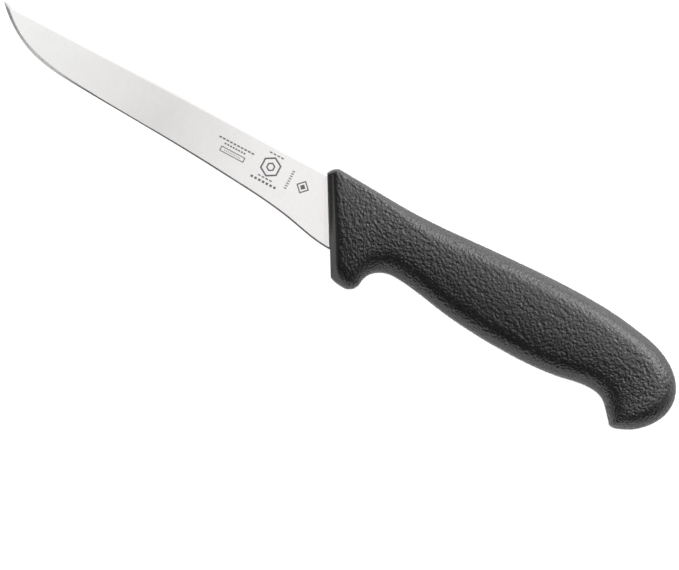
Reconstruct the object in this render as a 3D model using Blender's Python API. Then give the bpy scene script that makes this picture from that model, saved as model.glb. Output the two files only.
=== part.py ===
"""Boning knife: a stamped steel blade with a hidden tang, and a moulded handle.

The knife lies on its side.  +X runs from the tip to the butt, +Y from the
cutting edge to the spine, +Z is the thickness of the knife.  The origin is
the middle of the box round the knife, on the surface the knife lies on.
Sizes are written in millimetres along the blade (x, from the tip) and across
it (y, from the spine) and turned into metres when the bodies are made.
"""
import math

import bmesh
import bpy
import numpy as np

MM = 0.001

# --- whole knife ---------------------------------------------------------
OVERALL_LENGTH = 293.3
CROWN_Y = 5.15
GUARD_Y = -35.05
CENTRE_X = OVERALL_LENGTH / 2.0
CENTRE_Y = (CROWN_Y + GUARD_Y) / 2.0

# --- blade ---------------------------------------------------------------
SPINE_Y = 0.2
GRIND_Y = -0.1              # where the ground sides have their named half thickness
STOCK_HALF = 1.1            # half of the sheet the blade is stamped from
TIP_HALF = 0.65             # half thickness at the tip
TAPER_ALONG = 0.00326       # gain of half thickness per mm towards the heel
TAPER_ACROSS = 0.0383       # loss of half thickness per mm towards the edge
TAPER_END_X = 136.1         # behind this the blade no longer thickens
HEEL_X = 158.0              # end of the edge, hidden in the handle
HEEL_Y = -24.6
SHOULDER_X = 144.2          # end of the spine, hidden in the handle
BEVEL_AT_TIP = 1.3          # width of the sharpening bevel on the belly
BEVEL_AT_HEEL = 0.5
BEVEL_FADE_START = 16.0
BEVEL_FADE_END = 58.0
# cutting edge from tip to heel: x, y and heading in degrees
EDGE_NODES = (
    (0.0, SPINE_Y, -48.0),
    (16.0, -10.8, -23.0),
    (42.0, -14.93, -3.0),
    (100.0, -17.98, -4.6),
    (136.0, -22.12, -12.5),
    (152.0, HEEL_Y, 0.0),
)
EDGE_STEPS = (9, 8, 8, 6, 5)
FLAT_END = sum(EDGE_STEPS[:4])      # edge point where the lengthwise taper ends

# --- tang ----------------------------------------------------------------
TANG_END_X = 262.0
TANG_ROOT_TOP = -4.0
TANG_ROOT_BOTTOM = -18.0
TANG_END_TOP = -6.0
TANG_END_BOTTOM = -15.5
TANG_ROOT_TOP_X = 143.4     # the thick root starts inside the heel
TANG_ROOT_BOTTOM_X = 151.4
TANG_CORNER = 3.0
TANG_CORNER_STEPS = 4
KEY_HOLE_RADIUS = 2.8
KEY_HOLE_X = (180.0, 210.0, 240.0)
KEY_HOLE_Y = -10.8
KEY_HOLE_SIDES = 20

# --- handle --------------------------------------------------------------
GAP = 0.3                   # parting gap between steel and moulding
SLOT_AHEAD = 7.5            # how far the blade's slot is cut ahead of its root
EDGE_ROUND = 7.4            # rounding along the back, belly and butt
ROUND_POWER = 2.4           # fuller than a circle, so that it runs out softly
LIP_ROUND = 2.2             # rounding of the back over the guard
LIP_START = 14.0            # distance behind the front where that starts to grow
LIP_END = 46.0              # and where it has become the full rounding
FRONT_DROP = 3.8            # height of the facet between sides and front face
FRONT_WIDTH = 2.4           # its width along the handle
FRONT_SOFT = 1.6            # softness of the facet's inner corner
GUARD_FALL = 0.7            # how much thinner the guard gets towards the front
GUARD_LENGTH = 13.0         # distance behind the front over which it does
SIDE_CROWN = 0.2            # how much thinner the sides get towards the edges
CROWN_SHIFT = 0.14          # how far the thickest line lies towards the back
MEAN_POWER = 7.0            # sharpness of the smooth distance to the outline
PLAIN_UNTIL = 0.8           # nearer to the rim than this the plain distance holds
SMOOTH_FROM = 2.0           # further in than this the smooth distance holds
OUTLINE_STEPS = 4           # outline points measured to, for each column
# back of the handle from the front face to the hook tip: x, y, heading
BACK_NODES = (
    (137.95, 0.75, 66.0),
    (142.2, 3.75, -3.0),
    (156.0, 3.05, -2.6),
    (178.0, 2.35, 1.0),
    (206.0, 3.8, 3.2),
    (239.0, CROWN_Y, 0.0),
    (264.0, 3.55, -9.0),
    (280.0, -0.1, -22.0),
    (OVERALL_LENGTH, -16.2, -90.0),
    (285.05, -30.45, -143.0),
    (279.8, -33.1, -157.0),
    (276.3, -33.75, -190.0),
)
# underside of the handle from the front face to the hook tip
UNDER_NODES = (
    (157.56, -33.7, -30.0),
    (163.0, GUARD_Y, 0.0),
    (168.35, -30.3, 88.0),
    (178.5, -22.3, -2.0),
    (203.0, -25.9, -7.8),
    (233.0, -27.75, 0.0),
    (248.5, -26.75, 7.0),
    (262.5, -24.7, -1.0),
    (270.3, -27.4, -46.0),
    (272.8, -30.2, -50.0),
    (274.9, -32.6, -57.0),
    (276.3, -33.75, -10.0),
)
HANDLE_COLUMNS = (4, 5, 8, 6, 6, 5, 4, 8, 4, 4, 2)
ROUND_STEPS = 5
FLANK_STEPS = 6
ROUND_SHARE = 0.42          # most of a column that one rounding may take
# half thickness along the handle: x, half thickness
HALF_STATIONS = (
    (138.0, 7.9),
    (180.0, 7.8),
    (235.0, 9.4),
    (294.0, 8.4),
)
HALF_MAX = 9.4
BLADE_CREASE = 12.0         # degrees; sharper corners than this stay sharp
HANDLE_CREASE = 40.0
FRONT_X, FRONT_Y = BACK_NODES[0][:2]
FRONT_SLANT = math.atan2(UNDER_NODES[0][0] - FRONT_X, FRONT_Y - UNDER_NODES[0][1])


def clear_scene():
    """Remove whatever a new file starts with."""
    for old in list(bpy.data.objects):
        bpy.data.objects.remove(old, do_unlink=True)


def place(x, y, z):
    """Knife millimetres to metres in the part's frame."""
    return ((x - CENTRE_X) * MM, (y - CENTRE_Y) * MM, (z + HALF_MAX) * MM)


def smooth_step(value):
    """Ease from 0 to 1."""
    t = min(max(value, 0.0), 1.0)
    return t * t * (3.0 - 2.0 * t)


def curve_between(start, end, steps):
    """Cubic arc between two nodes that carry their own heading."""
    x0, y0, h0 = start
    x1, y1, h1 = end
    turn = (h1 - h0 + 180.0) % 360.0 - 180.0
    chord = math.hypot(x1 - x0, y1 - y0)
    arm = chord / (3.0 * math.cos(math.radians(turn) / 4.0) ** 2)
    a0 = math.radians(h0)
    a1 = math.radians(h1)
    p0 = np.array((x0, y0))
    p1 = p0 + arm * np.array((math.cos(a0), math.sin(a0)))
    p3 = np.array((x1, y1))
    p2 = p3 - arm * np.array((math.cos(a1), math.sin(a1)))
    t = np.linspace(0.0, 1.0, steps + 1)[:, None]
    s = 1.0 - t
    return s ** 3 * p0 + 3 * s * s * t * p1 + 3 * s * t * t * p2 + t ** 3 * p3


def run_through(nodes, steps):
    """Points along a chain of nodes, with the given steps in each span."""
    points = [np.array([nodes[0][:2]])]
    for start, end, count in zip(nodes[:-1], nodes[1:], steps):
        points.append(curve_between(start, end, count)[1:])
    return np.concatenate(points)


def new_object(name, bm):
    """Make a mesh object from a bmesh, with its faces outward."""
    bmesh.ops.recalc_face_normals(bm, faces=bm.faces)
    mesh = bpy.data.meshes.new(name)
    bm.to_mesh(mesh)
    bm.free()
    obj = bpy.data.objects.new(name, mesh)
    bpy.context.scene.collection.objects.link(obj)
    return obj


def combine(target, other, operation):
    """Apply one exact Boolean and drop the second body."""
    modifier = target.modifiers.new(operation.lower(), "BOOLEAN")
    modifier.operation = operation
    modifier.solver = "EXACT"
    modifier.object = other
    graph = bpy.context.evaluated_depsgraph_get()
    result = bpy.data.meshes.new_from_object(target.evaluated_get(graph))
    target.modifiers.remove(modifier)
    old = target.data
    target.data = result
    bpy.data.meshes.remove(old)
    bpy.data.objects.remove(other, do_unlink=True)


# --- blade ---------------------------------------------------------------
def ground_half(x, y):
    """Half thickness of the ground part of the blade."""
    return TIP_HALF + TAPER_ALONG * min(x, TAPER_END_X) + TAPER_ACROSS * (y - GRIND_Y)


def bevel_width(x):
    """Width of the sharpening bevel, wider round the belly."""
    span = BEVEL_FADE_END - BEVEL_FADE_START
    fade = smooth_step((x - BEVEL_FADE_START) / span)
    return BEVEL_AT_TIP + (BEVEL_AT_HEEL - BEVEL_AT_TIP) * fade


def blade_lines():
    """Cutting edge and the inner line of its bevel, tip to heel."""
    edge = run_through(EDGE_NODES, EDGE_STEPS)
    edge = np.vstack((edge, (HEEL_X, HEEL_Y)))
    along = np.gradient(edge, axis=0)
    along /= np.linalg.norm(along, axis=1)[:, None]
    inward = np.stack((-along[:, 1], along[:, 0]), axis=1)
    width = np.array([bevel_width(x) for x in edge[:, 0]])
    inner = edge + inward * width[:, None]
    above = np.maximum(inner[:, 1] - SPINE_Y, 0.0)
    inner[0] += along[0] * above[0] / -along[0, 1]
    slope = (SHOULDER_X - HEEL_X) / (SPINE_Y - HEEL_Y)
    inner[-1] = (HEEL_X + BEVEL_AT_HEEL * slope, HEEL_Y + BEVEL_AT_HEEL)
    inner[FLAT_END, 0] = TAPER_END_X
    return edge, inner


def blade_body():
    """Ground blade: two flat sides, the spine, the bevels and the heel."""
    edge, inner = blade_lines()
    bm = bmesh.new()
    keen = [bm.verts.new(place(x, y, 0.0)) for x, y in edge]
    sides = []
    for sign in (1.0, -1.0):
        line = [bm.verts.new(place(x, y, sign * ground_half(x, y))) for x, y in inner]
        spine = []
        for x in (TAPER_END_X, SHOULDER_X):
            spine.append(bm.verts.new(place(x, SPINE_Y, sign * ground_half(x, SPINE_Y))))
        bm.faces.new(line[:FLAT_END + 1] + spine[:1])
        bm.faces.new(line[FLAT_END:] + spine[::-1])
        for i in range(len(keen) - 1):
            bm.faces.new((keen[i], keen[i + 1], line[i + 1], line[i]))
        sides.append((line, spine))
    (upper, top), (lower, low) = sides
    bm.faces.new([keen[0], upper[0]] + top + low[::-1] + [lower[0]])
    bm.faces.new((top[-1], upper[-1], keen[-1], lower[-1], low[-1]))
    return new_object("blade", bm)


def tang_outline(grow):
    """Outline of the tang, grown outward by a clearance."""
    top = TANG_END_TOP + grow
    bottom = TANG_END_BOTTOM - grow
    corner = TANG_CORNER + grow
    end = TANG_END_X + grow
    points = [(TANG_ROOT_BOTTOM_X - grow, TANG_ROOT_BOTTOM - grow)]
    for start, cx, cy in ((-90.0, end - corner, bottom + corner), (0.0, end - corner, top - corner)):
        for i in range(TANG_CORNER_STEPS + 1):
            angle = math.radians(start + 90.0 * i / TANG_CORNER_STEPS)
            points.append((cx + corner * math.cos(angle), cy + corner * math.sin(angle)))
    points.append((TANG_ROOT_TOP_X - grow, TANG_ROOT_TOP + grow))
    return points


def prism(name, outline, half):
    """Upright prism over an outline, from -half to +half."""
    bm = bmesh.new()
    low = [bm.verts.new(place(x, y, -half)) for x, y in outline]
    high = [bm.verts.new(place(x, y, half)) for x, y in outline]
    bm.faces.new(low)
    bm.faces.new(high)
    count = len(outline)
    for i in range(count):
        j = (i + 1) % count
        bm.faces.new((low[i], low[j], high[j], high[i]))
    return new_object(name, bm)


def disc_outline(x, y, radius):
    """Circle as an outline."""
    turns = [2.0 * math.pi * i / KEY_HOLE_SIDES for i in range(KEY_HOLE_SIDES)]
    return [(x + radius * math.cos(a), y + radius * math.sin(a)) for a in turns]


def pierced_tang(name, grow):
    """Tang at full sheet thickness with its key holes."""
    tang = prism(name, tang_outline(grow), STOCK_HALF + grow)
    for x in KEY_HOLE_X:
        outline = disc_outline(x, KEY_HOLE_Y, KEY_HOLE_RADIUS - grow)
        drill = prism("drill", outline, 2.0 * STOCK_HALF)
        combine(tang, drill, "DIFFERENCE")
    return tang


# --- handle --------------------------------------------------------------
def handle_half(x):
    """Half thickness of the handle along its length."""
    for (x0, h0), (x1, h1) in zip(HALF_STATIONS[:-1], HALF_STATIONS[1:]):
        if x <= x1:
            return h0 + (h1 - h0) * smooth_step((x - x0) / (x1 - x0))
    return HALF_STATIONS[-1][1]


def mean_distance(points, outline):
    """Smooth distance to an outline; equals the plain one near a straight edge."""
    start = outline[:-1]
    run = outline[1:] - start
    length = np.linalg.norm(run, axis=1)
    middle = start + 0.5 * run
    gap = np.linalg.norm(points[:, None, :] - middle[None, :, :], axis=2)
    offset = points[:, None, :] - start[None, :, :]
    along = np.clip((offset * run).sum(axis=2) / (length ** 2), 0.0, 1.0)
    foot = start + along[:, :, None] * run
    plain = np.linalg.norm(points[:, None, :] - foot, axis=2).min(axis=1)
    power = MEAN_POWER
    scale = math.sqrt(math.pi) * math.gamma((power - 1.0) / 2.0) / math.gamma(power / 2.0)
    total = (np.maximum(gap, 1e-6) ** -power * length).sum(axis=1) / scale
    mean = total ** (-1.0 / (power - 1.0))
    blend = np.clip((plain - PLAIN_UNTIL) / (SMOOTH_FROM - PLAIN_UNTIL), 0.0, 1.0)
    return plain + (mean - plain) * blend


def column_stops(length):
    """Places along a column: close together on the roundings."""
    edge = min(EDGE_ROUND, ROUND_SHARE * length) / length
    turns = np.linspace(0.0, math.pi / 2.0, ROUND_STEPS + 1)
    ramp = edge * (1.0 - np.cos(turns))
    flank = np.linspace(edge, 1.0 - edge, FLANK_STEPS + 1)[1:-1]
    return np.concatenate((ramp, flank, (1.0 - ramp)[::-1]))


def side_height(x, y, across, distance):
    """Height of the handle's side over its middle plane."""
    behind = (x - FRONT_X) * math.cos(FRONT_SLANT) + (y - FRONT_Y) * math.sin(FRONT_SLANT)
    grown = smooth_step((behind - LIP_START) / (LIP_END - LIP_START))
    back_round = LIP_ROUND + (EDGE_ROUND - LIP_ROUND) * grown
    radius = EDGE_ROUND + (back_round - EDGE_ROUND) * smooth_step(0.5 - 2.0 * across)
    fall = (1.0 - min(distance / radius, 1.0)) ** ROUND_POWER
    rounded = (1.0 - fall) ** (1.0 / ROUND_POWER)
    facet = FRONT_DROP * (1.0 - behind / FRONT_WIDTH)
    drop = min(0.5 * (facet + math.hypot(facet, FRONT_SOFT)), FRONT_DROP)
    near = min(max(1.0 - behind / GUARD_LENGTH, 0.0), 1.0)
    drop += GUARD_FALL * near * near * smooth_step(0.7 + across)
    crown = 1.0 - SIDE_CROWN * (across + CROWN_SHIFT) ** 2
    return (handle_half(x) - drop) * crown * rounded


def handle_grid():
    """Columns of (x, y, height) from the back to the underside."""
    back = run_through(BACK_NODES, HANDLE_COLUMNS)
    under = run_through(UNDER_NODES, HANDLE_COLUMNS)
    fine = tuple(OUTLINE_STEPS * count for count in HANDLE_COLUMNS)
    fine_under = run_through(UNDER_NODES, fine)
    outline = np.concatenate((run_through(BACK_NODES, fine), fine_under[::-1][1:]))
    columns = []
    for top, bottom in zip(back[:-1], under[:-1]):
        stops = column_stops(np.linalg.norm(bottom - top))
        points = top + stops[:, None] * (bottom - top)
        distance = mean_distance(points, outline)
        column = []
        for (x, y), stop, gap in zip(points, stops, distance):
            column.append((x, y, side_height(x, y, 2.0 * stop - 1.0, gap)))
        columns.append(column)
    return columns, back[-1]


def handle_shell():
    """Moulded handle before the tang cavity is taken out."""
    columns, hook_tip = handle_grid()
    bm = bmesh.new()
    last = len(columns[0]) - 1
    rows_up = []
    rows_down = []
    for column in columns:
        up = []
        down = []
        for i, (x, y, z) in enumerate(column):
            rim = i in (0, last)
            vert = bm.verts.new(place(x, y, 0.0 if rim else z))
            up.append(vert)
            down.append(vert if rim else bm.verts.new(place(x, y, -z)))
        rows_up.append(up)
        rows_down.append(down)
    for rows in (rows_up, rows_down):
        for a, b in zip(rows[:-1], rows[1:]):
            for i in range(last):
                bm.faces.new((a[i], a[i + 1], b[i + 1], b[i]))
    tip = bm.verts.new(place(hook_tip[0], hook_tip[1], 0.0))
    for pole in (rows_up[-1], rows_down[-1]):
        for i in range(last):
            bm.faces.new((pole[i], pole[i + 1], tip))
    bm.faces.new(rows_up[0] + rows_down[0][-2:0:-1])
    return new_object("handle", bm)


def blade_slot():
    """Room for the blade's root, open through the front face."""
    outline = (
        (SHOULDER_X - SLOT_AHEAD, SPINE_Y + GAP),
        (SHOULDER_X + GAP, SPINE_Y + GAP),
        (HEEL_X + GAP, HEEL_Y - GAP),
        (HEEL_X - SLOT_AHEAD, HEEL_Y - GAP),
    )
    bm = bmesh.new()
    low = [bm.verts.new(place(x, y, -ground_half(x, y) - GAP)) for x, y in outline]
    high = [bm.verts.new(place(x, y, ground_half(x, y) + GAP)) for x, y in outline]
    bm.faces.new(low)
    bm.faces.new(high)
    for i in range(4):
        j = (i + 1) % 4
        bm.faces.new((low[i], low[j], high[j], high[i]))
    return new_object("slot", bm)


# --- materials -----------------------------------------------------------
def material(name, colour, roughness, metallic):
    """Plain Principled material."""
    made = bpy.data.materials.new(name)
    made.use_nodes = True
    shader = made.node_tree.nodes["Principled BSDF"]
    shader.inputs["Base Color"].default_value = (*colour, 1.0)
    shader.inputs["Roughness"].default_value = roughness
    shader.inputs["Metallic"].default_value = metallic
    return made


def satin_steel():
    """Fine-ground stainless steel."""
    return material("satin steel", (0.75, 0.74, 0.73), 0.32, 1.0)


def black_rubber():
    """Charcoal grained thermoplastic rubber."""
    return material("black rubber", (0.045, 0.045, 0.047), 0.6, 0.0)


# --- pieces --------------------------------------------------------------
def shade(obj, finish, angle):
    """Smooth shading broken at real corners, and one material."""
    for face in obj.data.polygons:
        face.use_smooth = True
    obj.data.set_sharp_from_angle(angle=math.radians(angle))
    obj.data.materials.clear()
    obj.data.materials.append(finish)


def make_blade():
    """Blade and tang, one piece of steel."""
    blade = blade_body()
    combine(blade, pierced_tang("tang", 0.0), "UNION")
    shade(blade, satin_steel(), BLADE_CREASE)
    return blade


def make_handle():
    """Handle moulded round the tang, with keys through the tang's holes."""
    handle = handle_shell()
    cavity = blade_slot()
    combine(cavity, pierced_tang("tang room", GAP), "UNION")
    combine(handle, cavity, "DIFFERENCE")
    shade(handle, black_rubber(), HANDLE_CREASE)
    return handle


clear_scene()
make_blade()
make_handle()
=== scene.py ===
import math

import bmesh
import bpy
import numpy as np
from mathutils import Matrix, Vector


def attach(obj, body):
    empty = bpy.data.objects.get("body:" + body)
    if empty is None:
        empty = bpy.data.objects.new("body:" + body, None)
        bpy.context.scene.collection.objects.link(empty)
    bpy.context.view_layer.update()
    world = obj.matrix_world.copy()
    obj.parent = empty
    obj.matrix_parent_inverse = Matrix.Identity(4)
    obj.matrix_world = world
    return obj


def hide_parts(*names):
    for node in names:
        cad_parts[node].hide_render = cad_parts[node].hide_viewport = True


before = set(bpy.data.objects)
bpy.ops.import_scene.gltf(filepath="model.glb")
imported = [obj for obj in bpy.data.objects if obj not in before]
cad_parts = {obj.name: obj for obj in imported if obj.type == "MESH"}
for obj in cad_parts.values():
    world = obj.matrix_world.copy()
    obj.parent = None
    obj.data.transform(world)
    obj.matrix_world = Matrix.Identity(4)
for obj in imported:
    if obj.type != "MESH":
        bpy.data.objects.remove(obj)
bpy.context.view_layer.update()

# Sizes are millimetres in the knife's own directions: x from the tip to the
# butt, y from the spine towards the edge (negative), z from the blade's middle
# plane.  place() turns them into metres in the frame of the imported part.
MM = 0.001
BUTT_X = 293.3
CROWN_Y = 5.15
GUARD_Y = -35.05
MIDDLE_X = BUTT_X / 2.0
MIDDLE_Y = (CROWN_Y + GUARD_Y) / 2.0
HALF_MAX = 9.4

# --- blade ---
SPINE_Y = 0.48
GRIND_Y = -0.1
STOCK_HALF = 1.1
TIP_HALF = 0.65
TAPER_ALONG = 0.00326
TAPER_ACROSS = 0.0383
TAPER_END_X = 136.1
HEEL_X = 158.0
HEEL_Y = -24.6
SHOULDER_X = 144.2
BEVEL_AT_TIP = 1.3
BEVEL_AT_HEEL = 0.5
BEVEL_FADE_START = 16.0
BEVEL_FADE_END = 58.0
BEVEL_GAIN = 0.12
BEVEL_GAIN_SPAN = (60.0, 100.0)
SPINE_EASE = 1.3
SPINE_SINK = 0.008
SPINE_LEAD = 0.15
HOLLOW_START = 26.0
HOLLOW_END = 62.0
FOLD_AT = 0.8               # where the bevel folds, as a share of its width
FOLD_RISE = 0.34            # how high the fold stands round the tip
FLANK_STOPS = (0.0, 0.35, 0.7, 1.0)
SPINE_TURNS = 5
BLADE_CREASE = 11.0         # degrees at which shading breaks
EDGE_NODES = (
    (0.0, SPINE_Y, -48.0),
    (16.0, -10.8, -23.0),
    (42.0, -14.93, -3.0),
    (100.0, -17.98, -4.6),
    (136.0, -22.12, -12.5),
    (152.0, HEEL_Y, 0.0),
    (HEEL_X, HEEL_Y, 0.0),
)
EDGE_STEPS = (40, 50, 60, 40, 30, 6)

# --- tang ---
TANG_END_X = 262.0
TANG_ROOT_TOP = -4.0
TANG_ROOT_BOTTOM = -18.0
TANG_END_TOP = -6.0
TANG_END_BOTTOM = -15.5
TANG_ROOT_TOP_X = 143.4
TANG_ROOT_BOTTOM_X = 151.4
TANG_CORNER = 3.0
TANG_CORNER_STEPS = 6
KEY_HOLE_RADIUS = 2.8
KEY_HOLE_X = (180.0, 210.0, 240.0)
KEY_HOLE_Y = -10.8
KEY_HOLE_SIDES = 32

# --- handle ---
FIT_GAP = 0.08              # clearance between the steel and the rubber
SLOT_AHEAD = 7.5            # how far the blade's slot runs ahead of its root
EDGE_ROUND = 7.4            # rounding along the back, belly and butt
ROUND_POWER = 2.4           # fuller than a circle, so that it runs out softly
ROUND_SHARE = 0.42          # most of a column's length that one rounding takes
LIP_ROUND = 2.2             # rounding of the back over the guard
LIP_START = 14.0            # behind the front, where that starts to grow
LIP_END = 46.0              # and where it is full
GROOVE_X = 176.0            # middle of the finger groove
GROOVE_REACH = 11.0
GROOVE_ROUND = 2.6          # extra rounding of its edge
FRONT_DROP = 3.8            # height of the facet at the front
FRONT_WIDTH = 2.4           # its width along the handle
FRONT_SOFT = 1.6            # softness of the crease behind it
SIDE_CROWN = 0.2
CROWN_SHIFT = 0.14          # how far the thickest line lies towards the back
GUARD_FALL = 0.7            # how much the guard thins towards the front
GUARD_LENGTH = 13.0
GUARD_FALL_FROM = 0.7
MEAN_POWER = 7.0
PLAIN_UNTIL = 0.8           # distance from the outline where it is measured plainly
SMOOTH_OVER = 1.2           # and over which the smooth measure takes over
LEAST_GAP = 1e-6
COLUMN_SAMPLES = 800
HANDLE_CREASE = 42.0        # degrees at which shading breaks
BACK_NODES = (
    (137.95, 0.75, 66.0),
    (142.2, 3.75, -3.0),
    (156.0, 3.05, -2.6),
    (178.0, 2.35, 1.0),
    (206.0, 3.8, 3.2),
    (239.0, 5.03, 0.0),
    (264.0, 3.5, -9.0),
    (280.0, -0.12, -22.0),
    (293.18, -16.2, -90.0),
    (285.0, -30.4, -143.0),
    (279.8, -33.1, -157.0),
    (276.3, -33.75, -190.0),
)
UNDER_NODES = (
    (157.56, -33.7, -30.0),
    (163.7, -34.93, 0.0),
    (168.35, -30.3, 88.0),
    (178.5, -22.3, -2.0),
    (203.0, -25.9, -7.8),
    (233.0, -27.72, 0.0),
    (248.5, -26.72, 7.0),
    (262.5, -24.65, -1.0),
    (270.3, -27.4, -46.0),
    (272.8, -30.2, -50.0),
    (274.9, -32.6, -57.0),
    (276.3, -33.75, -10.0),
)
HANDLE_COLUMNS = (16, 36, 56, 76, 82, 62, 40, 56, 36, 20, 12)
UPPER_STEPS = 126           # steps over the side that is seen
LOWER_STEPS = 60            # steps over the side that lies on the floor
HALF_STATIONS = ((138.0, 7.8), (180.0, 7.7), (235.0, 9.3), (294.0, 8.3))
FRONT_SLANT = math.atan2(
    UNDER_NODES[0][0] - BACK_NODES[0][0], BACK_NODES[0][1] - UNDER_NODES[0][1]
)
SMOOTH_FRONT = 2.6          # behind the front, where the grain starts
GRAIN_FADE = 1.6            # and over which it reaches full depth
GRAIN_SQUEEZE = 0.95
GRAIN_CELL = 0.82
GRAIN_DEPTH = 0.32
GRAIN_LIFT = 0.28           # share of the depth that stands over the smooth skin
FINE_CELL = 0.62
FINE_DEPTH = 0.06


def place(x, y, z):
    """Knife millimetres to metres in the part's frame."""
    return ((x - MIDDLE_X) * MM, (y - MIDDLE_Y) * MM, (z + HALF_MAX) * MM)


def ease(value):
    """Ease from 0 to 1, on numbers or arrays."""
    t = np.clip(value, 0.0, 1.0)
    return t * t * (3.0 - 2.0 * t)


def curve_between(start, end, steps):
    """Cubic arc between two nodes that carry their own heading."""
    x0, y0, h0 = start
    x1, y1, h1 = end
    turn = (h1 - h0 + 180.0) % 360.0 - 180.0
    arm = math.hypot(x1 - x0, y1 - y0) / (3.0 * math.cos(math.radians(turn) / 4.0) ** 2)
    a0, a1 = math.radians(h0), math.radians(h1)
    p0, p3 = np.array((x0, y0)), np.array((x1, y1))
    p1 = p0 + arm * np.array((math.cos(a0), math.sin(a0)))
    p2 = p3 - arm * np.array((math.cos(a1), math.sin(a1)))
    t = np.linspace(0.0, 1.0, steps + 1)[:, None]
    s = 1.0 - t
    return s ** 3 * p0 + 3 * s * s * t * p1 + 3 * s * t * t * p2 + t ** 3 * p3


def run_through(nodes, steps):
    """Points along a chain of nodes, with the given steps in each span."""
    points = [np.array([nodes[0][:2]])]
    for start, end, count in zip(nodes[:-1], nodes[1:], steps):
        points.append(curve_between(start, end, count)[1:])
    return np.concatenate(points)


def object_from(name, bm):
    """A mesh object from a bmesh, faces outward."""
    bmesh.ops.recalc_face_normals(bm, faces=bm.faces)
    mesh = bpy.data.meshes.new(name)
    bm.to_mesh(mesh)
    bm.free()
    made = bpy.data.objects.new(name, mesh)
    bpy.context.scene.collection.objects.link(made)
    return made


def settle(obj):
    """Turn an object's modifiers into its plain mesh."""
    graph = bpy.context.evaluated_depsgraph_get()
    result = bpy.data.meshes.new_from_object(obj.evaluated_get(graph))
    obj.modifiers.clear()
    obj.data = result
    return obj


def combine(target, other, operation):
    """Apply one exact Boolean and drop the second body."""
    modifier = target.modifiers.new(operation.lower(), "BOOLEAN")
    modifier.operation = operation
    modifier.solver = "EXACT"
    modifier.object = other
    settle(target)
    bpy.data.objects.remove(other, do_unlink=True)


# ------------------------------------------------------------------ blade
def ground_half(x, y):
    """Half thickness of the ground blade."""
    return TIP_HALF + TAPER_ALONG * min(x, TAPER_END_X) + TAPER_ACROSS * (y - GRIND_Y)


def bevel_width(x):
    """Width of the sharpening bevel, wider round the belly."""
    span = BEVEL_FADE_END - BEVEL_FADE_START
    gain = BEVEL_GAIN * ease((x - BEVEL_GAIN_SPAN[0]) / (BEVEL_GAIN_SPAN[1] - BEVEL_GAIN_SPAN[0]))
    return gain + BEVEL_AT_TIP + (BEVEL_AT_HEEL - BEVEL_AT_TIP) * ease((x - BEVEL_FADE_START) / span)


def blade_sections():
    """Half sections from the edge to the middle of the spine, tip to heel."""
    edge = run_through(EDGE_NODES, EDGE_STEPS)
    along = np.gradient(edge, axis=0)
    along /= np.linalg.norm(along, axis=1)[:, None]
    width = bevel_width(edge[:, 0])
    inner = edge + np.stack((-along[:, 1], along[:, 0]), axis=1) * width[:, None]
    slope = (SHOULDER_X - HEEL_X) / (SPINE_Y - HEEL_Y)
    inner[-1] = (HEEL_X + BEVEL_AT_HEEL * slope, HEEL_Y + BEVEL_AT_HEEL)
    first = int(np.argmax(inner[:, 1] < SPINE_Y - SPINE_EASE - 2.0 * SPINE_LEAD))
    start = inner[first, 0]
    turns = np.linspace(0.0, math.pi / 2.0, SPINE_TURNS)
    sections = []
    for i in range(first, len(edge)):
        share = (inner[i, 0] - start) / (inner[-1, 0] - start)
        top_x = start + share * (SHOULDER_X - start)
        hollow = 1.0 - ease((edge[i, 0] - HOLLOW_START) / (HOLLOW_END - HOLLOW_START))
        fold = edge[i] + FOLD_AT * (inner[i] - edge[i])
        rise = FOLD_AT + (FOLD_RISE - FOLD_AT) * hollow
        section = [(*edge[i], 0.0), (*fold, rise * ground_half(*inner[i]))]
        for step in FLANK_STOPS:
            x = inner[i, 0] + step * (top_x - inner[i, 0])
            y = inner[i, 1] + step * (SPINE_Y - SPINE_EASE - SPINE_LEAD - inner[i, 1])
            section.append((x, y, ground_half(x, y)))
        half = ground_half(top_x, SPINE_Y - SPINE_EASE)
        for turn in turns:
            y = SPINE_Y - SPINE_EASE * (1.0 - math.sin(turn))
            section.append((top_x, y, half - SPINE_SINK * (1.0 - math.cos(turn))))
        section.append((top_x, SPINE_Y, 0.0))
        sections.append(section)
    return sections, edge[:first]


def blade_body():
    """Ground blade with eased spine and a true edge."""
    sections, nose = blade_sections()
    bm = bmesh.new()
    last = len(sections[0]) - 1
    upper, lower = [], []
    for section in sections:
        up = [bm.verts.new(place(x, y, z)) for x, y, z in section]
        down = list(up)
        for j in range(1, last):
            x, y, z = section[j]
            down[j] = bm.verts.new(place(x, y, -z))
        upper.append(up)
        lower.append(down)
    for rows in (upper, lower):
        for a, b in zip(rows[:-1], rows[1:]):
            for j in range(last):
                bm.faces.new((a[j], a[j + 1], b[j + 1], b[j]))
    bm.faces.new(upper[-1] + lower[-1][-2:0:-1])
    rim = [bm.verts.new(place(x, y, 0.0)) for x, y in nose] + [upper[0][0]]
    for row in (upper[0], lower[0]):
        for a, b in zip(rim[1:-1], rim[2:]):
            bm.faces.new((a, b, row[1]))
        bm.faces.new((rim[0], rim[1], row[1]))
        for j in range(1, last):
            bm.faces.new((rim[0], row[j], row[j + 1]))
    return object_from("blade", bm)


def tang_outline(grow):
    """Outline of the tang, grown outward by a clearance."""
    top, bottom = TANG_END_TOP + grow, TANG_END_BOTTOM - grow
    corner, end = TANG_CORNER + grow, TANG_END_X + grow
    points = [(TANG_ROOT_BOTTOM_X - grow, TANG_ROOT_BOTTOM - grow)]
    for start, cy in ((-90.0, bottom + corner), (0.0, top - corner)):
        for i in range(TANG_CORNER_STEPS + 1):
            angle = math.radians(start + 90.0 / TANG_CORNER_STEPS * i)
            points.append((end - corner + corner * math.cos(angle), cy + corner * math.sin(angle)))
    points.append((TANG_ROOT_TOP_X - grow, TANG_ROOT_TOP + grow))
    return points


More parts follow.
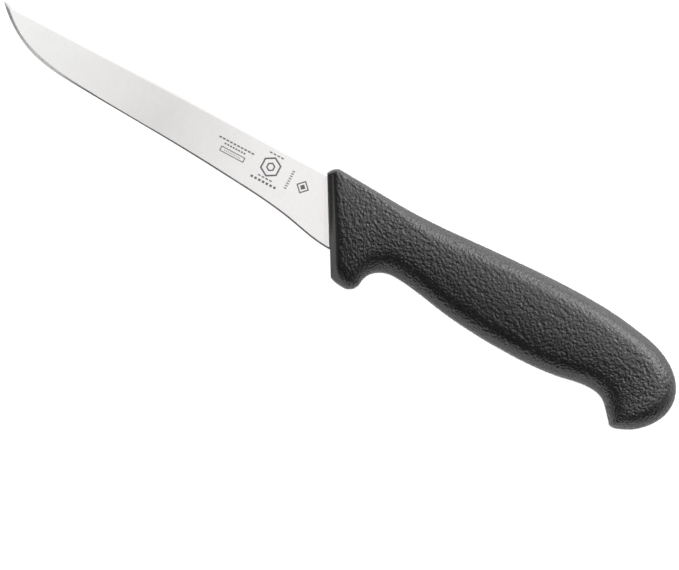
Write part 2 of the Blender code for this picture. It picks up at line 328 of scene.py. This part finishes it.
def prism(name, low, high):
    """A body between two matching outlines of (x, y, z)."""
    bm = bmesh.new()
    floor = [bm.verts.new(place(*p)) for p in low]
    roof = [bm.verts.new(place(*p)) for p in high]
    bm.faces.new(floor)
    bm.faces.new(roof)
    for i in range(len(floor)):
        j = (i + 1) % len(floor)
        bm.faces.new((floor[i], floor[j], roof[j], roof[i]))
    return object_from(name, bm)


def flat_prism(name, outline, half):
    """Upright prism from -half to +half."""
    return prism(name, [(x, y, -half) for x, y in outline], [(x, y, half) for x, y in outline])


def pierced_tang(grow):
    """Tang at full sheet thickness with its key holes."""
    tang = flat_prism("tang", tang_outline(grow), STOCK_HALF + grow)
    turns = np.linspace(0.0, 2.0 * math.pi, KEY_HOLE_SIDES, endpoint=False)
    for x in KEY_HOLE_X:
        r = KEY_HOLE_RADIUS - grow
        ring = [(x + r * math.cos(a), KEY_HOLE_Y + r * math.sin(a)) for a in turns]
        combine(tang, flat_prism("drill", ring, 2.0 * STOCK_HALF), "DIFFERENCE")
    return tang


# ----------------------------------------------------------------- handle
def handle_half(x):
    """Half thickness of the handle along its length."""
    half = np.full_like(x, HALF_STATIONS[0][1])
    for (x0, h0), (x1, h1) in zip(HALF_STATIONS[:-1], HALF_STATIONS[1:]):
        half = half + (h1 - h0) * ease((x - x0) / (x1 - x0))
    return half


def mean_distance(points, outline):
    """Smooth distance to an outline; equals the plain one near a straight edge."""
    start = outline[:-1]
    run = outline[1:] - start
    length = np.linalg.norm(run, axis=1)
    gap = np.linalg.norm(points[:, None, :] - (start + 0.5 * run)[None, :, :], axis=2)
    offset = points[:, None, :] - start[None, :, :]
    along = np.clip((offset * run).sum(axis=2) / (length ** 2), 0.0, 1.0)
    foot = start + along[:, :, None] * run
    plain = np.linalg.norm(points[:, None, :] - foot, axis=2).min(axis=1)
    power = MEAN_POWER
    scale = math.sqrt(math.pi) * math.gamma((power - 1.0) / 2.0) / math.gamma(power / 2.0)
    total = (np.maximum(gap, LEAST_GAP) ** -power * length).sum(axis=1) / scale
    mean = total ** (-1.0 / (power - 1.0))
    return plain + (mean - plain) * np.clip((plain - PLAIN_UNTIL) / SMOOTH_OVER, 0.0, 1.0)


def behind_front(x, y):
    """Distance behind the slanted front face, on arrays or sockets."""
    along = (x - BACK_NODES[0][0]) * math.cos(FRONT_SLANT)
    return along + (y - BACK_NODES[0][1]) * math.sin(FRONT_SLANT)


def side_height(x, y, across, distance):
    """Height of the handle's side over its middle plane."""
    behind = behind_front(x, y)
    lip = LIP_ROUND + (EDGE_ROUND - LIP_ROUND) * ease((behind - LIP_START) / (LIP_END - LIP_START))
    radius = EDGE_ROUND + (lip - EDGE_ROUND) * ease(0.5 - 2.0 * across)
    groove = np.exp(-((x - GROOVE_X) / GROOVE_REACH) ** 2) * ease(across)
    radius = radius + GROOVE_ROUND * groove
    fall = (1.0 - np.minimum(distance / radius, 1.0)) ** ROUND_POWER
    rounded = (1.0 - fall) ** (1.0 / ROUND_POWER)
    half = handle_half(x)
    slope = FRONT_DROP * (1.0 - behind / FRONT_WIDTH)
    drop = 0.5 * (slope + np.sqrt(slope * slope + FRONT_SOFT * FRONT_SOFT))
    near = np.clip(1.0 - behind / GUARD_LENGTH, 0.0, 1.0)
    fall_in = GUARD_FALL * near * near * ease(GUARD_FALL_FROM + across)
    nose = 1.0 - (np.minimum(drop, FRONT_DROP) + fall_in) / half
    off = across + CROWN_SHIFT
    return half * (1.0 - SIDE_CROWN * off * off) * rounded * nose


def column_stops(length, steps):
    """Places along a column, evenly spaced over its rounded section."""
    edge = min(EDGE_ROUND, ROUND_SHARE * length)
    along = 0.5 * length * (1.0 - np.cos(np.linspace(0.0, math.pi, COLUMN_SAMPLES)))
    inset = np.minimum(np.minimum(along, length - along) / edge, 1.0)
    rise = HALF_MAX * (1.0 - (1.0 - inset) ** ROUND_POWER) ** (1.0 / ROUND_POWER)
    walked = np.concatenate(((0.0,), np.cumsum(np.hypot(np.diff(along), np.diff(rise)))))
    return np.interp(np.linspace(0.0, walked[-1], steps + 1), walked, along) / length


def handle_shell():
    """Moulded handle, smooth, before its grain and its tang cavity."""
    back = run_through(BACK_NODES, HANDLE_COLUMNS)
    under = run_through(UNDER_NODES, HANDLE_COLUMNS)
    outline = np.concatenate((back, under[::-1][1:]))
    points, grain, faces = [], [], []
    upper, lower = [], []
    for top, bottom in zip(back[:-1], under[:-1]):
        for rows, sign, steps in ((upper, 1.0, UPPER_STEPS), (lower, -1.0, LOWER_STEPS)):
            stops = column_stops(np.linalg.norm(bottom - top), steps)
            flat = top + stops[:, None] * (bottom - top)
            x, y = flat[:, 0], flat[:, 1]
            z = sign * side_height(x, y, 2.0 * stops - 1.0, mean_distance(flat, outline))
            z[0] = z[-1] = 0.0
            mask = ease((behind_front(x, y) - SMOOTH_FRONT) / GRAIN_FADE)
            inner = slice(0, None) if sign > 0.0 else slice(1, -1)
            first = len(points)
            points += [place(*p) for p in zip(x[inner], y[inner], z[inner])]
            grain += list(mask[inner])
            row = list(range(first, len(points)))
            rows.append(row if sign > 0.0 else [upper[-1][0]] + row + [upper[-1][-1]])
    tip = len(points)
    points.append(place(*back[-1], 0.0))
    grain.append(1.0)
    for rows, flip in ((upper, 1), (lower, -1)):
        for a, b in zip(rows[:-1], rows[1:]):
            for i in range(len(a) - 1):
                faces.append((a[i], a[i + 1], b[i + 1], b[i])[::flip])
        row = rows[-1]
        for i in range(len(row) - 1):
            faces.append((row[i], row[i + 1], tip)[::flip])
    faces.append(tuple(upper[0] + lower[0][-2:0:-1])[::-1])
    mesh = bpy.data.meshes.new("handle")
    mesh.from_pydata(points, [], faces)
    mesh.attributes.new("grain", "FLOAT", "POINT").data.foreach_set("value", grain)
    mesh.validate()
    made = bpy.data.objects.new("handle", mesh)
    bpy.context.scene.collection.objects.link(made)
    return made


def tang_room():
    """The space in the handle that the tang and the heel fill."""
    outline = (
        (SHOULDER_X - SLOT_AHEAD, SPINE_Y + FIT_GAP),
        (SHOULDER_X + FIT_GAP, SPINE_Y + FIT_GAP),
        (HEEL_X + FIT_GAP, HEEL_Y - FIT_GAP),
        (HEEL_X - SLOT_AHEAD, HEEL_Y - FIT_GAP),
    )
    low = [(x, y, -ground_half(x, y) - FIT_GAP) for x, y in outline]
    high = [(x, y, ground_half(x, y) + FIT_GAP) for x, y in outline]
    room = prism("room", low, high)
    combine(room, pierced_tang(FIT_GAP), "UNION")
    return room


# ------------------------------------------------------------------ nodes
class Val:
    """A node socket that takes part in arithmetic."""

    def __init__(self, kit, socket):
        self.kit = kit
        self.socket = socket

    def maths(self, operation, *terms):
        return self.kit.maths(operation, *terms)

    def __add__(self, other):
        return self.maths("ADD", self, other)

    __radd__ = __add__

    def __sub__(self, other):
        return self.maths("SUBTRACT", self, other)

    def __rsub__(self, other):
        return self.maths("SUBTRACT", other, self)

    def __mul__(self, other):
        return self.maths("MULTIPLY", self, other)

    __rmul__ = __mul__

    def __truediv__(self, other):
        return self.maths("DIVIDE", self, other)

    def __abs__(self):
        return self.maths("ABSOLUTE", self)

    def least(self, other):
        return self.maths("MINIMUM", self, other)

    def most(self, other):
        return self.maths("MAXIMUM", self, other)

    def wrapped(self):
        return self.maths("FRACT", self)

    def smooth(self, low, high):
        """0 below low, 1 above high, eased between; falls if low is above high."""
        rising = low < high
        return self.kit.node(
            "ShaderNodeMapRange",
            {"interpolation_type": "SMOOTHSTEP"},
            {"Value": self, "From Min": min(low, high), "From Max": max(low, high),
             "To Min": 0.0 if rising else 1.0, "To Max": 1.0 if rising else 0.0},
        )

    def other(self, name):
        """Another output of the same node."""
        return Val(self.kit, self.socket.node.outputs[name])


class Kit:
    """Adds nodes to one tree."""

    def __init__(self, tree):
        self.tree = tree

    def node(self, kind, settings, inputs, output=0):
        made = self.tree.nodes.new(kind)
        for name, value in settings.items():
            if name == "stops":
                ramp = made.color_ramp
                while len(ramp.elements) < len(value):
                    ramp.elements.new(0.5)
                for element, (position, colour) in zip(ramp.elements, value):
                    element.position = position
                    element.color = (*colour, 1.0)
            else:
                setattr(made, name, value)
        for name, value in inputs.items():
            socket = made.inputs[name]
            if isinstance(value, Val):
                self.tree.links.new(value.socket, socket)
            else:
                socket.default_value = value
        return Val(self, made.outputs[output]) if made.outputs else made

    def maths(self, operation, *terms):
        return self.node("ShaderNodeMath", {"operation": operation}, dict(enumerate(terms)))

    def number(self, value):
        """A plain number as a socket."""
        return self.maths("ADD", value, 0.0)

    def knife_axes(self, where):
        """A position in knife millimetres, as x, y and z."""
        parts = self.node("ShaderNodeSeparateXYZ", {}, {0: where})
        x = parts / MM + MIDDLE_X
        y = parts.other("Y") / MM + MIDDLE_Y
        z = parts.other("Z") / MM - HALF_MAX
        return x, y, z

    def vector(self, x, y, z):
        return self.node("ShaderNodeCombineXYZ", {}, {"X": x, "Y": y, "Z": z})

    def noise(self, at, scale, detail, roughness=0.5):
        return self.node(
            "ShaderNodeTexNoise",
            {"noise_dimensions": "3D"},
            {"Vector": at, "Scale": scale, "Detail": detail, "Roughness": roughness},
        )

    def blend(self, factor, a, b):
        """Mix two colours."""
        return self.node(
            "ShaderNodeMix", {"data_type": "RGBA"}, {"Factor": factor, 6: a, 7: b}, 2
        )


def fresh_material(name):
    """An empty material with its kit and output."""
    made = bpy.data.materials.new(name)
    made.use_nodes = True
    made.node_tree.nodes.clear()
    return made, Kit(made.node_tree)


def finish_material(kit, constants, links):
    """Principled shader with plain constants and linked sockets."""
    shader = kit.node("ShaderNodeBsdfPrincipled", {}, {**constants, **links})
    kit.node("ShaderNodeOutputMaterial", {}, {"Surface": shader})


# -------------------------------------------------------------- materials
def pebbles(kit, at, cell):
    """Leather grain: -1 in the creases, 0 on the crowns of the pebbles."""
    sizes = kit.vector(cell * GRAIN_SQUEEZE, cell, cell)
    at = kit.node("ShaderNodeVectorMath", {"operation": "DIVIDE"}, {0: at, 1: sizes})
    bend = kit.noise(at, 0.6, 1.0).other("Color")
    bend = kit.node("ShaderNodeVectorMath", {"operation": "SCALE"}, {0: bend, "Scale": 1.1})
    at = kit.node("ShaderNodeVectorMath", {"operation": "ADD"}, {0: at, 1: bend})
    pits = kit.node(
        "ShaderNodeTexVoronoi",
        {"voronoi_dimensions": "3D", "feature": "SMOOTH_F1"},
        {"Vector": at, "Scale": 1.0, "Smoothness": 0.2, "Randomness": 0.75},
    )
    swell = kit.noise(at, 1.3, 1.0)
    low = (pits * 1.25).least(1.0)
    return (low * low * 0.9 + swell * 0.1) * -1.0


def band(value, centre, width, soft=0.08):
    """1 inside a band of a value, eased at its sides."""
    return abs(value - centre).smooth(width / 2 + soft / 2, width / 2 - soft / 2)


def dashes(x, y, start, end, level, height, pitch, filled):
    """A row of plain dashes."""
    row = band(y, level, height) * band(x, (start + end) / 2, end - start)
    cell = abs(((x - start) / pitch).wrapped() - 0.5)
    return row * cell.smooth(filled / 2 + 0.05, filled / 2 - 0.05)


# rows of dashes: start, end, level, height, pitch and filled share of the pitch
DASH_ROWS = (
    (95.4, 110.6, -6.4, 0.6, 1.52, 0.74),
    (98.4, 107.6, -7.8, 0.6, 1.15, 0.66),
    (99.6, 106.6, -10.15, 0.34, 0.7, 0.5),
    (114.9, 121.3, -2.7, 0.5, 1.6, 0.7),
    (114.9, 121.3, -12.3, 0.5, 1.6, 0.7),
    (112.6, 123.8, -13.9, 0.9, 1.6, 0.62),
)
UPRIGHT_ROW = (-12.6, -4.6, 126.6, 1.1, 1.0, 0.5)
UPRIGHT_SHARE = 0.9
FRAME_AT = (103.1, -10.15)
FRAME_HALF = (4.9, 0.85)
FRAME_LINE = 0.36
HEXAGON_AT = (118.1, -7.6)
HEXAGON_LINES = ((3.25, 0.62), (1.3, 0.55))
LOZENGE_AT = (132.3, -8.7)
LOZENGE_LINE = (2.35, 0.68)
LOZENGE_HEART = (1.3, 1.05)


def etched_marks(x, y):
    """Plain geometric marks burnt into the blade: dashes, a frame, a hexagon and a lozenge."""
    marks = dashes(y, x, *UPRIGHT_ROW) * UPRIGHT_SHARE
    for row in DASH_ROWS:
        marks = marks.most(dashes(x, y, *row))
    across, down = abs(x - FRAME_AT[0]), abs(y - FRAME_AT[1])
    frame_edge = (across - FRAME_HALF[0]).most(down - FRAME_HALF[1])
    marks = marks.most(band(frame_edge, 0.0, FRAME_LINE))
    side, rise = abs(x - HEXAGON_AT[0]), abs(y - HEXAGON_AT[1])
    hexagon = (side * 0.5 + rise * 0.866).most(side)
    for radius, width in HEXAGON_LINES:
        marks = marks.most(band(hexagon, radius, width))
    lozenge = abs(x - LOZENGE_AT[0]) + abs(y - LOZENGE_AT[1])
    marks = marks.most(band(lozenge, *LOZENGE_LINE))
    return marks.most(lozenge.smooth(*LOZENGE_HEART))


STEEL_TONE = 0.75
TIP_PAINTED_SHEEN = 0.045            # painted reflection, lighter towards the tip
MIDDLE_PAINTED_SHADE = 0.14          # painted reflection, darker in the middle of the blade
ROOT_PAINTED_HIGHLIGHT = 0.15            # painted highlight, lighter beside the handle
# dark of the etched marks, also used for the painted shadow line at the handle joint
MARK_AND_SHADOW_COLOUR = (0.04, 0.04, 0.045, 1.0)
RUBBER_TONE = 0.0078
RUBBER_IOR = 1.475


def satin_steel():
    """Stainless steel, ground across the blade, with an etched maker's area."""
    made, kit = fresh_material("satin_steel")
    x, y, z = kit.knife_axes(kit.node("ShaderNodeTexCoord", {}, {}, "Object"))
    flat = kit.vector(x, y * 0.03, z * 0.03)
    lines = kit.noise(flat, 7.0, 3.0, 0.6)
    coarse = kit.noise(kit.vector(x, y * 0.12, z * 0.1), 0.9, 2.0)
    cloud = kit.noise(kit.vector(x * 0.05, y * 0.08, z * 0.08), 1.0, 1.0)
    middle = band(x, 74.0, 40.0, 70.0)
    ahead = behind_front(x, y) * -1.0
    # a broad tone painted along the blade, in place of the soft reflections of a room
    tone = STEEL_TONE + x.smooth(26.0, 4.0) * TIP_PAINTED_SHEEN - middle * MIDDLE_PAINTED_SHADE
    # the last term paints a highlight on the steel just ahead of the handle
    shade = tone + (cloud - 0.5) * 0.04 + (lines - 0.5) * 0.05 + ahead.smooth(1.1, 0.5) * ROOT_PAINTED_HIGHLIGHT
    warm = x.smooth(20.0, 60.0)
    colour = kit.node(
        "ShaderNodeCombineColor", {},
        {"Red": shade * (1.0 + warm * 0.025), "Green": shade, "Blue": shade * (0.99 + warm * 0.005)},
    )
    marks = etched_marks(x, y) * z.smooth(0.0, 0.2)
    # a painted shadow line along the joint: the steel within 0.3 mm ahead of the handle joins the
    # etched marks and takes their dark colour, roughness and lower metal
    marks = marks.most(ahead.smooth(0.3, 0.1))
    colour = kit.blend(marks * 0.94, colour, MARK_AND_SHADOW_COLOUR)
    roughness = 0.3 + (lines - 0.5) * 0.16 + (coarse - 0.5) * 0.08 + marks * 0.25
    bump = kit.node(
        "ShaderNodeBump", {}, {"Strength": 0.25, "Distance": 0.00003, "Height": lines + coarse * 0.6}
    )
    finish_material(
        kit, {}, {"Base Color": colour, "Roughness": roughness, "Metallic": 1.0 - marks * 0.75,
                  "Normal": bump}
    )
    return made


def grained_rubber():
    """Charcoal thermoplastic rubber with a fine leather grain and a smooth front."""
    made, kit = fresh_material("grained_rubber")
    x, y, z = kit.knife_axes(kit.node("ShaderNodeTexCoord", {}, {}, "Object"))
    at = kit.vector(x, y, z)
    fine = kit.noise(at, 3.0, 2.0, 0.6)
    cloud = kit.noise(at, 0.07, 2.0)
    grained = behind_front(x, y).smooth(SMOOTH_FRONT, SMOOTH_FRONT + GRAIN_FADE)
    relief = pebbles(kit, at, kit.number(FINE_CELL)) * FINE_DEPTH + fine * 0.06
    shade = RUBBER_TONE + (cloud - 0.5) * 0.003 + (fine - 0.5) * 0.005 * grained
    colour = kit.node(
        "ShaderNodeCombineColor", {}, {"Red": shade * 1.03, "Green": shade, "Blue": shade * 0.98}
    )
    roughness = 0.21 + (fine - 0.5) * 0.12 + (cloud - 0.5) * 0.08
    bump = kit.node(
        "ShaderNodeBump", {}, {"Strength": 1.0, "Distance": MM, "Height": relief * grained}
    )
    finish_material(
        kit, {"IOR": RUBBER_IOR}, {"Base Color": colour, "Roughness": roughness, "Normal": bump}
    )
    return made


def floor_paper():
    """White paper, self-lit like a light table, more so away from the knife."""
    made, kit = fresh_material("floor_paper")
    where = kit.node("ShaderNodeTexCoord", {}, {}, "Object")
    tooth = kit.noise(where, 900.0, 2.0)
    y = kit.node("ShaderNodeSeparateXYZ", {}, {0: where}).other("Y")
    aside = y.smooth(*FLOOR_BACK) + (y * -1.0).smooth(*FLOOR_FRONT) * FLOOR_FRONT_SHARE
    near = (FLOOR_NEAR, FLOOR_NEAR, FLOOR_NEAR, 1.0)
    glow = kit.blend(aside, near, (1.0, 1.0, 1.0, 1.0))
    constants = {
        "Base Color": (0.12, 0.12, 0.12, 1.0), "Roughness": 0.9, "Emission Strength": FLOOR_GLOW,
    }
    bump = kit.node("ShaderNodeBump", {}, {"Strength": 0.05, "Distance": 0.0001, "Height": tooth})
    finish_material(kit, constants, {"Normal": bump, "Emission Color": glow})
    return made


# -------------------------------------------------------- geometry nodes
def grain_tree(material):
    """Raises a leather grain on a smooth shell, by its grain attribute."""
    tree = bpy.data.node_groups.new("leather grain", "GeometryNodeTree")
    face = tree.interface
    face.new_socket("Shell", in_out="INPUT", socket_type="NodeSocketGeometry")
    for name in ("Cell size", "Depth"):
        face.new_socket(name, in_out="INPUT", socket_type="NodeSocketFloat")
    face.new_socket("Shell", in_out="OUTPUT", socket_type="NodeSocketGeometry")
    kit = Kit(tree)
    shell = kit.node("NodeGroupInput", {}, {})
    cell, depth = shell.other("Cell size"), shell.other("Depth")
    x, y, z = kit.knife_axes(kit.node("GeometryNodeInputPosition", {}, {}))
    height = pebbles(kit, kit.vector(x, y, z), cell) + GRAIN_LIFT
    mask = kit.node("GeometryNodeInputNamedAttribute", {"data_type": "FLOAT"}, {"Name": "grain"})
    lift = height * depth * mask * MM
    outward = kit.node("GeometryNodeInputNormal", {}, {})
    offset = kit.node("ShaderNodeVectorMath", {"operation": "SCALE"}, {0: outward, "Scale": lift})
    moved = kit.node("GeometryNodeSetPosition", {}, {"Geometry": shell, "Offset": offset})
    whole = kit.node("GeometryNodeRealizeInstances", {}, {"Geometry": moved})
    coated = kit.node("GeometryNodeSetMaterial", {}, {"Geometry": whole, "Material": material})
    kit.node("NodeGroupOutput", {}, {"Shell": coated})
    return tree


def raise_grain(shell, material):
    """Run the grain over the shell and keep the result as its mesh."""
    tree = grain_tree(material)
    modifier = shell.modifiers.new("grain", "NODES")
    modifier.node_group = tree
    sizes = {"Cell size": GRAIN_CELL, "Depth": GRAIN_DEPTH}
    for item in tree.interface.items_tree:
        if item.in_out == "INPUT" and item.name in sizes:
            modifier[item.identifier] = sizes[item.name]
    settle(shell)


# ----------------------------------------------------------------- pieces
def shade(obj, finish, angle):
    """Smooth shading broken at real corners, and one material."""
    obj.data.polygons.foreach_set("use_smooth", [True] * len(obj.data.polygons))
    obj.data.set_sharp_from_angle(angle=math.radians(angle))
    obj.data.materials.clear()
    obj.data.materials.append(finish)
    obj.data.polygons.foreach_set("material_index", [0] * len(obj.data.polygons))


def make_blade():
    """Blade and tang, one piece of steel."""
    blade = blade_body()
    combine(blade, pierced_tang(0.0), "UNION")
    shade(blade, satin_steel(), BLADE_CREASE)
    blade.name = "ground_blade"
    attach(blade, "root")
    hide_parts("blade")


def make_handle():
    """Grained handle with the tang's room inside."""
    handle = handle_shell()
    rubber = grained_rubber()
    raise_grain(handle, rubber)
    combine(handle, tang_room(), "DIFFERENCE")
    shade(handle, rubber, HANDLE_CREASE)
    handle.name = "grained_handle"
    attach(handle, "root")
    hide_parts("handle")


# ------------------------------------------------------------------ stage
VIEW_TURN = 28.05
VIEW_RISE = 86.0
VIEW_WIDTH = 0.2549
VIEW_DISTANCE = 3.0
VIEW_TARGET = (0.01515, -0.0197, HALF_MAX * MM)
SENSOR = 36.0
LIGHT_TURN = 175.0
# angle off the zenith towards the knife's back, in degrees, and radiance there
LIGHT_STOPS = (
    (-90.0, 2.2),
    (-78.0, 1.4),
    (-66.0, 0.3),
    (-56.0, 0.08),
    (-14.0, 0.07),
    (-8.0, 0.25),
    (-3.0, 0.95),
    (1.0, 1.3),
    (4.0, 1.5),
    (9.0, 1.95),
    (16.0, 2.6),
    (34.0, 3.5),
    (48.0, 2.6),
    (58.0, 7.6),
    (72.0, 7.6),
    (80.0, 1.0),
    (90.0, 0.9),
)
LIGHT_PEAK = 8.0
LIGHT_SPAN = (0.62, 0.36)    # sine of the turn where the boxes end and start to fade
LIGHT_ENDS = 0.75           # radiance left beyond their ends
LIGHT_SLANT = 0.5           # how much brighter the boxes get towards the butt
# compact soft boxes: lean, sine of the turn along the knife, their half sizes, radiance
LIGHT_POOLS = (
    (44.0, 0.2, 10.0, 0.2, 6.0),
    (-42.0, -0.68, 18.0, 0.16, 0.35),
)
FLOOR_GLOW = 3.0
FLOOR_NEAR = 0.334           # share of the glow close to the knife
FLOOR_BACK = (0.03, 0.065)   # where the glow starts and ends its rise behind the knife
FLOOR_FRONT = (0.045, 0.1)   # and in front of it
FLOOR_FRONT_SHARE = 0.3
FLOOR_HALF = 3.0
POOL_FADE = (1.3, 0.7)


def direction(turn, rise):
    """Unit vector at a turn from -Y and a rise over the floor, in degrees."""
    a, e = math.radians(turn), math.radians(rise)
    return Vector((math.sin(a) * math.cos(e), -math.cos(a) * math.cos(e), math.sin(e)))


def make_camera():
    """A distant camera, nearly straight over the knife."""
    data = bpy.data.cameras.new("camera")
    data.sensor_width = SENSOR
    data.lens = SENSOR * VIEW_DISTANCE / VIEW_WIDTH
    data.clip_start = 0.05
    data.clip_end = 20.0
    camera = bpy.data.objects.new("camera", data)
    back = direction(VIEW_TURN, VIEW_RISE)
    camera.location = Vector(VIEW_TARGET) + back * VIEW_DISTANCE
    camera.rotation_mode = "QUATERNION"
    camera.rotation_quaternion = (-back).to_track_quat("-Z", "Y")
    bpy.context.scene.collection.objects.link(camera)
    bpy.context.scene.camera = camera


def make_floor():
    """A broad sheet of white paper under the knife."""
    bm = bmesh.new()
    bmesh.ops.create_grid(bm, x_segments=4, y_segments=4, size=FLOOR_HALF)
    floor = object_from("floor", bm)
    if floor.data.polygons[0].normal.z < 0.0:
        floor.data.flip_normals()
    floor.data.materials.append(floor_paper())


def make_world():
    """Long soft boxes lying along the knife, by angle off the zenith towards its back."""
    world = bpy.data.worlds.new("studio")
    bpy.context.scene.world = world
    world.use_nodes = True
    world.node_tree.nodes.clear()
    kit = Kit(world.node_tree)
    where = kit.node("ShaderNodeTexCoord", {}, {}, "Generated")
    back = tuple(direction(LIGHT_TURN, 0.0))
    toward = kit.node(
        "ShaderNodeVectorMath", {"operation": "DOT_PRODUCT"}, {0: where, 1: back}, "Value"
    )
    side = tuple(direction(LIGHT_TURN - 90.0, 0.0))
    along = kit.node(
        "ShaderNodeVectorMath", {"operation": "DOT_PRODUCT"}, {0: where, 1: side}, "Value"
    )
    height = kit.node("ShaderNodeSeparateXYZ", {}, {0: where}).other("Z")
    lean = kit.maths("ARCTAN2", toward, height) * (180.0 / math.pi)
    stops = [(0.5 + angle / 180.0, (glow / LIGHT_PEAK,) * 3) for angle, glow in LIGHT_STOPS]
    glow = kit.node("ShaderNodeValToRGB", {"stops": stops}, {0: lean / 180.0 + 0.5}) * LIGHT_PEAK
    glow = glow * (along * LIGHT_SLANT + 1.0)
    soft = glow.least(LIGHT_ENDS)
    glow = soft + (glow - soft) * abs(along).smooth(*LIGHT_SPAN)
    for middle, turn, reach, width, power in LIGHT_POOLS:
        outer, inner = POOL_FADE
        pool = abs(lean - middle).smooth(reach * outer, reach * inner)
        pool = pool * abs(along - turn).smooth(width * outer, width * inner)
        glow = glow + pool * power
    surround = kit.node("ShaderNodeBackground", {}, {"Color": (1.0, 1.0, 1.0, 1.0), "Strength": glow})
    kit.node("ShaderNodeOutputWorld", {}, {"Surface": surround})


bpy.context.scene.view_settings.view_transform = "Standard"
make_blade()
make_handle()
make_camera()
make_floor()
make_world()
